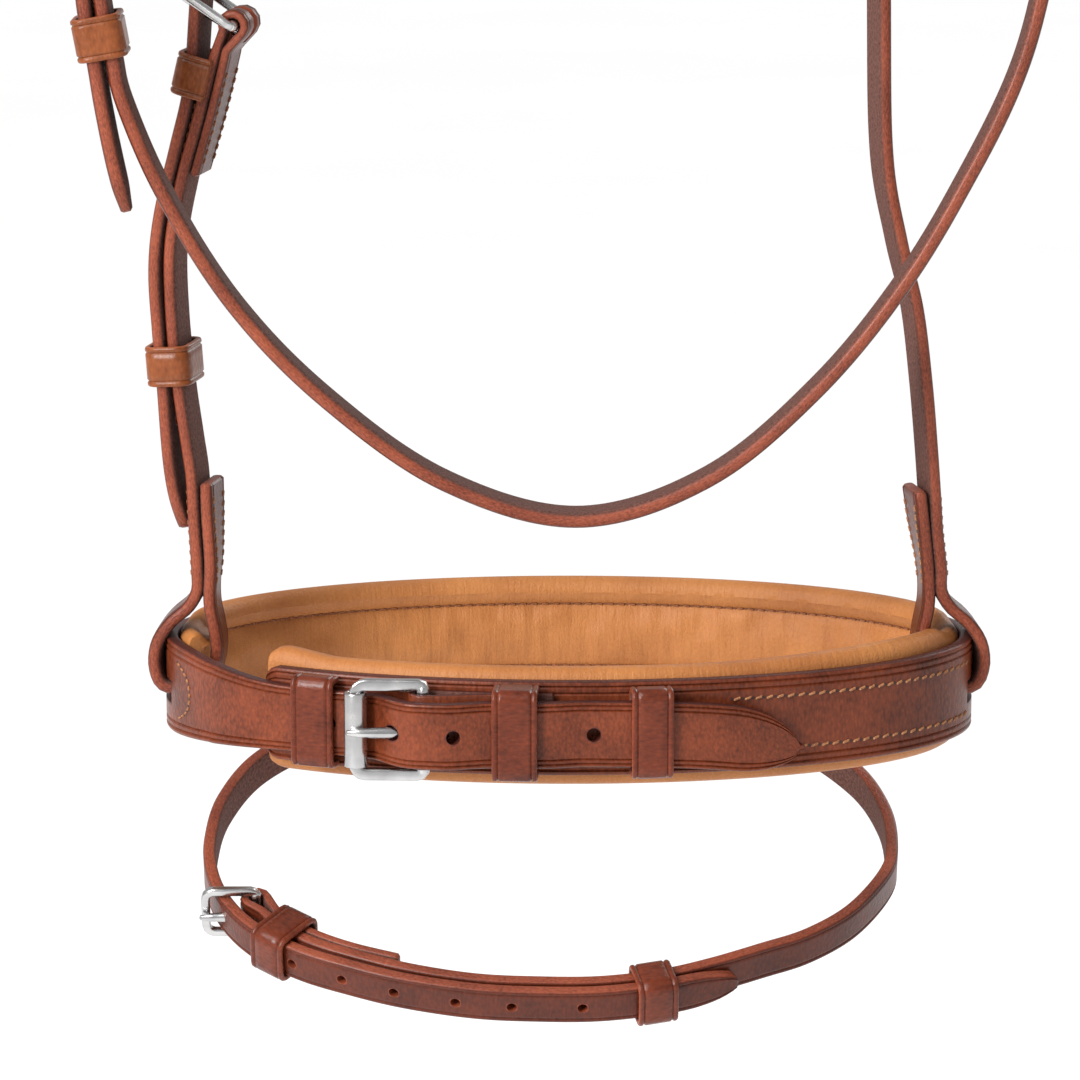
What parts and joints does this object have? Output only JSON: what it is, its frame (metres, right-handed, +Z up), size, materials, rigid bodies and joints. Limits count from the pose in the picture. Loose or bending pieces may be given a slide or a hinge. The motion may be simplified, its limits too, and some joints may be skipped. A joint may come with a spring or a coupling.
{
  "type": "bitless bridle",
  "caption": "Brown leather bitless bridle with a padded noseband, sewn cheek loops, throat lash and flash strap, hanging from its headpiece.",
  "frame": {"origin": "middle of the underside of the headpiece, where it rests on the poll or hangs on a bracket", "axes": "+Z up, +Y towards the front of the nose, -Y towards the chin, +X towards the plain cheek, -X towards the cheek with the buckles"},
  "size_m": [0.2528, 0.164, 0.5726],
  "materials": {
    "bridle_leather": "havana brown bridle leather, grain side waxed to a soft gloss, cut edges left orange-brown",
    "keeper_leather": "thinner golden brown leather, creased along both edges",
    "padding": "soft tan leather over foam, stitched in two rows",
    "buckle_steel": "satin"
  },
  "bodies": {
    "headpiece": {"headpiece": "bridle_leather", "browband": "bridle_leather"},
    "cheeks": {"right_cheek_strap": "bridle_leather", "left_cheek_strap": "bridle_leather", "left_cheek_billet": "bridle_leather", "cheek_keeper_fixed": "keeper_leather"},
    "cheek_frame": {"cheek_buckle_frame": "buckle_steel"},
    "cheek_tongue": {"cheek_buckle_tongue": "buckle_steel"},
    "cheek_keeper": {"cheek_keeper_running": "keeper_leather"},
    "throat": {"throat_lash": "bridle_leather", "throat_billet": "bridle_leather", "throat_keeper": "keeper_leather"},
    "throat_frame": {"throat_buckle_frame": "buckle_steel"},
    "throat_tongue": {"throat_buckle_tongue": "buckle_steel"},
    "noseband": {"noseband_strap": "bridle_leather", "noseband_padding": "padding", "noseband_chape": "bridle_leather", "noseband_keeper_1": "keeper_leather", "noseband_keeper_2": "keeper_leather", "flash_tab": "bridle_leather"},
    "noseband_frame": {"noseband_buckle_frame": "buckle_steel"},
    "noseband_tongue": {"noseband_buckle_tongue": "buckle_steel"},
    "noseband_roller": {"noseband_buckle_roller": "buckle_steel"},
    "noseband_keeper": {"noseband_keeper_running": "keeper_leather"},
    "flash": {"flash_sleeve": "bridle_leather", "flash_strap": "bridle_leather", "flash_keeper_fixed": "keeper_leather"},
    "flash_frame": {"flash_buckle_frame": "buckle_steel"},
    "flash_tongue": {"flash_buckle_tongue": "buckle_steel"},
    "flash_keeper": {"flash_keeper_running": "keeper_leather"}
  },
  "joints": [
    {"name": "cheek_swing", "type": "hinge", "parent": "headpiece", "child": "cheeks", "pos_m": [0, 0.0125, -0.12], "axis": [1, 0, 0], "range_deg": [-2, 20]},
    {"name": "throat_swing", "type": "hinge", "parent": "headpiece", "child": "throat", "pos_m": [0, -0.0125, -0.12], "axis": [1, 0, 0], "range_deg": [-33, 1]},
    {"name": "noseband_tilt", "type": "hinge", "parent": "cheeks", "child": "noseband", "pos_m": [0, 0.01899, -0.4916], "axis": [1, 0, 0], "range_deg": [-4, 4]},
    {"name": "flash_swing", "type": "hinge", "parent": "noseband", "child": "flash", "pos_m": [0, 0.08109, -0.5046], "axis": [1, 0, 0], "range_deg": [-15, 30]},
    {"name": "cheek_buckle_play", "type": "hinge", "parent": "cheeks", "child": "cheek_frame", "pos_m": [-0.08463, 0.01306, -0.31602], "axis": [-0.225, -0.9742, -0.017], "range_deg": [0, 3]},
    {"name": "cheek_tongue_play", "type": "hinge", "parent": "cheek_frame", "child": "cheek_tongue", "pos_m": [-0.08463, 0.01306, -0.31602], "axis": [-0.225, -0.9742, -0.017], "range_deg": [0, 3]},
    {"name": "throat_buckle_play", "type": "hinge", "parent": "throat", "child": "throat_frame", "pos_m": [-0.1116, -0.0125, -0.278], "axis": [0, -1, 0], "range_deg": [0, 3]},
    {"name": "throat_tongue_play", "type": "hinge", "parent": "throat_frame", "child": "throat_tongue", "pos_m": [-0.1116, -0.0125, -0.278], "axis": [0, -1, 0], "range_deg": [0, 3]},
    {"name": "noseband_buckle_play", "type": "hinge", "parent": "noseband", "child": "noseband_frame", "pos_m": [-0.03723, -0.03612, -0.49], "axis": [0, 0, 1], "range_deg": [0, 3]},
    {"name": "noseband_tongue_play", "type": "hinge", "parent": "noseband_frame", "child": "noseband_tongue", "pos_m": [-0.03723, -0.03612, -0.49], "axis": [0, 0, 1], "range_deg": [0, 3]},
    {"name": "roller_spin", "type": "hinge", "parent": "noseband_frame", "child": "noseband_roller", "pos_m": [-0.05442, -0.03545, -0.49], "axis": [0, 0, 1], "continuous": true},
    {"name": "cheek_keeper_slide", "type": "slide", "parent": "cheeks", "child": "cheek_keeper", "axis": [0.0686, 0.0016, -0.9976], "range_m": [-0.01, 0.01]},
    {"name": "noseband_keeper_slide", "type": "hinge", "parent": "noseband", "child": "noseband_keeper", "pos_m": [0.0006, 0.15899, -0.49], "axis": [0, 0, 1], "range_deg": [-2.5, 3]},
    {"name": "flash_buckle_play", "type": "hinge", "parent": "flash", "child": "flash_frame", "pos_m": [-0.0822, -0.00122, -0.54804], "axis": [0, -0.3746, 0.9272], "range_deg": [0, 3]},
    {"name": "flash_tongue_play", "type": "hinge", "parent": "flash_frame", "child": "flash_tongue", "pos_m": [-0.0822, -0.00122, -0.54804], "axis": [0, -0.3746, 0.9272], "range_deg": [0, 3]},
    {"name": "flash_keeper_slide", "type": "hinge", "parent": "flash", "child": "flash_keeper", "pos_m": [-0.0018, 0.053, -0.5261], "axis": [0, 0.3746, -0.9272], "range_deg": [-3, 3]}
  ]
}
